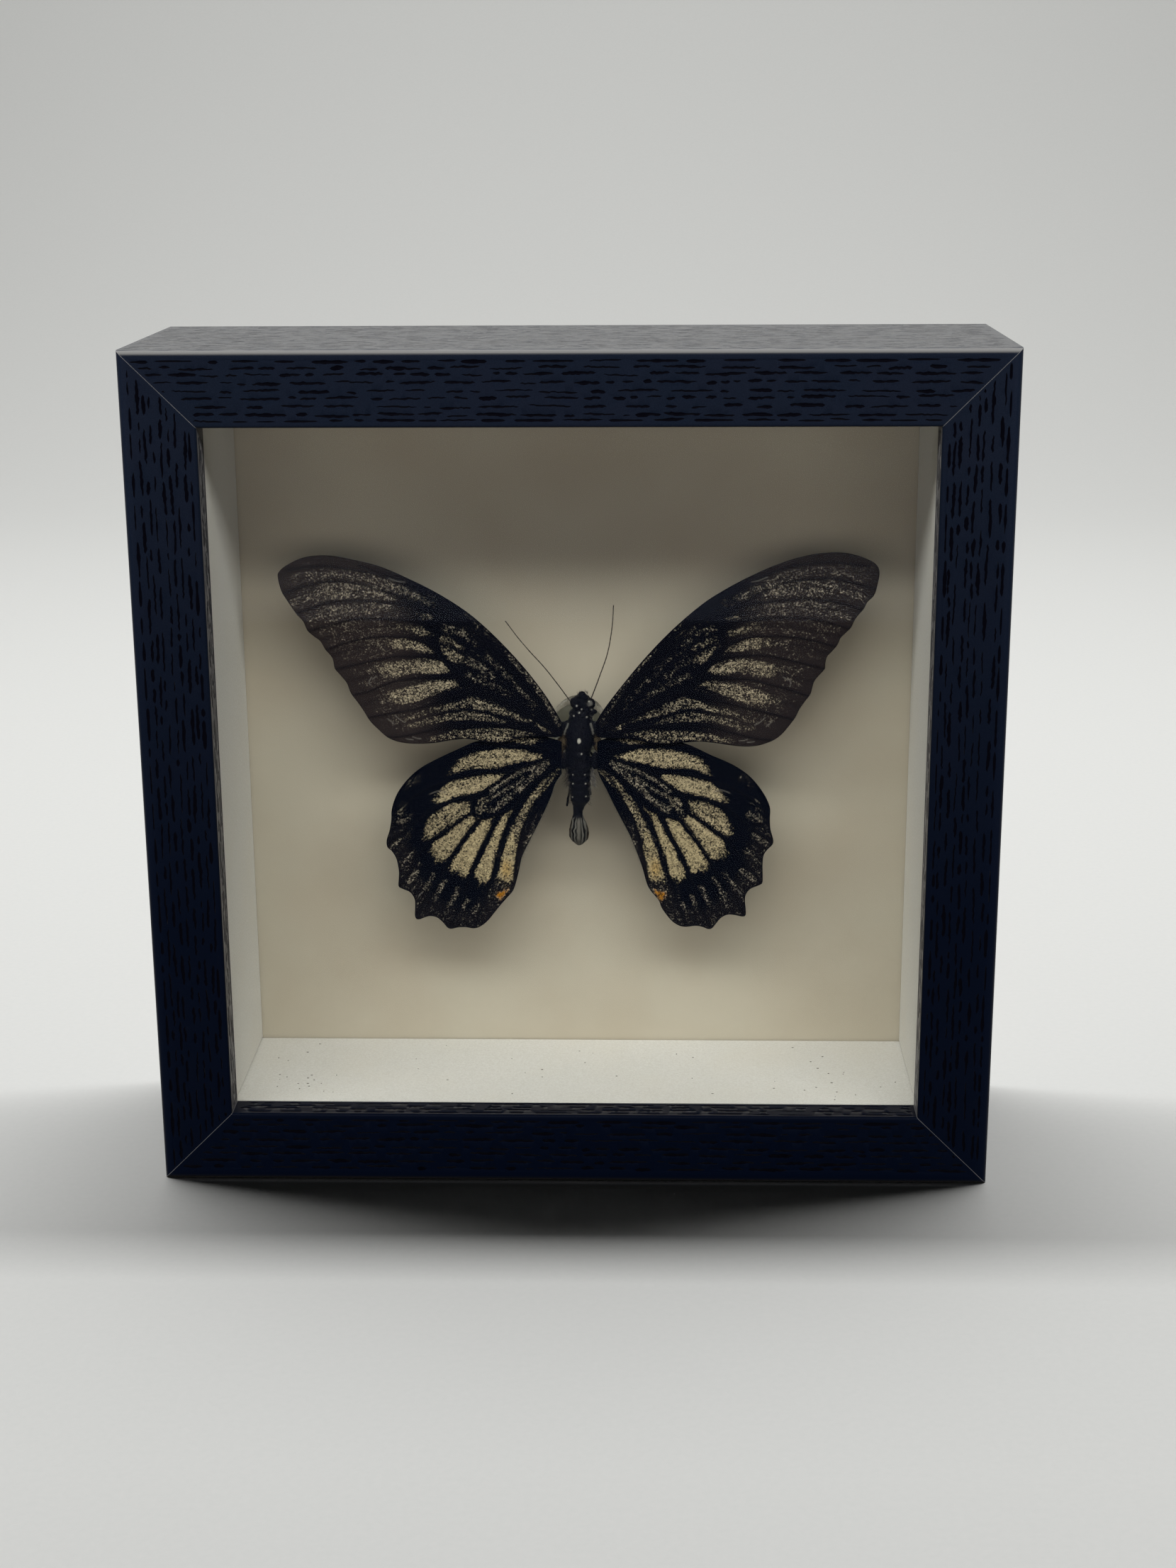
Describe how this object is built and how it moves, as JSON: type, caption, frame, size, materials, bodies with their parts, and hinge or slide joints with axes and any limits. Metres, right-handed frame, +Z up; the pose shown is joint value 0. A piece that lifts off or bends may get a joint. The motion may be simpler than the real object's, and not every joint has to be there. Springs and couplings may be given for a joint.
{
  "type": "framed butterfly specimen",
  "caption": "Spread black-and-cream swallowtail butterfly on a clear post inside a deep square shadow box frame with a dark foil finish and a glass front.",
  "frame": {"origin": "centre of the base of the frame, on the surface it stands on", "axes": "+Z up, +Y towards the back, so the glass faces -Y"},
  "size_m": [0.15, 0.046, 0.15],
  "materials": {
    "rail_foil": "dark navy foil on wood fibre, satin, with short embossed dashes",
    "glass": "clear, polished",
    "liner_board": "off-white board, matte",
    "backing_paper": "cream board, matte",
    "hardboard": "brown hardboard, matte",
    "zinc_steel": "zinc plated, satin",
    "clear_post": "clear, polished",
    "forewing": "dusty brown-black scales with pale streaks, matte",
    "hindwing": "blue-black scales with cream rays and an orange spot, matte",
    "body": "black chitin with fine hairs, satin",
    "antenna": "dark brown chitin, satin"
  },
  "bodies": {
    "root": {"rail_bottom": "rail_foil", "rail_left": "rail_foil", "rail_top": "rail_foil", "rail_right": "rail_foil", "glass_pane": "glass", "liner_top": "liner_board", "liner_bottom": "liner_board", "liner_left": "liner_board", "liner_right": "liner_board", "backing_board": "backing_paper", "back_panel": "hardboard", "panel_tab_1": "zinc_steel", "panel_tab_2": "zinc_steel", "panel_tab_3": "zinc_steel", "panel_tab_4": "zinc_steel", "panel_tab_5": "zinc_steel", "panel_tab_6": "zinc_steel", "panel_tab_7": "zinc_steel", "panel_tab_8": "zinc_steel", "hanger": "zinc_steel", "hanger_nail_1": "zinc_steel", "hanger_nail_2": "zinc_steel", "mount_post": "clear_post", "butterfly_body": "body", "forewing_left": "forewing", "forewing_right": "forewing", "hindwing_left": "hindwing", "hindwing_right": "hindwing", "antenna_left": "antenna", "antenna_right": "antenna"}
  },
  "joints": []
}
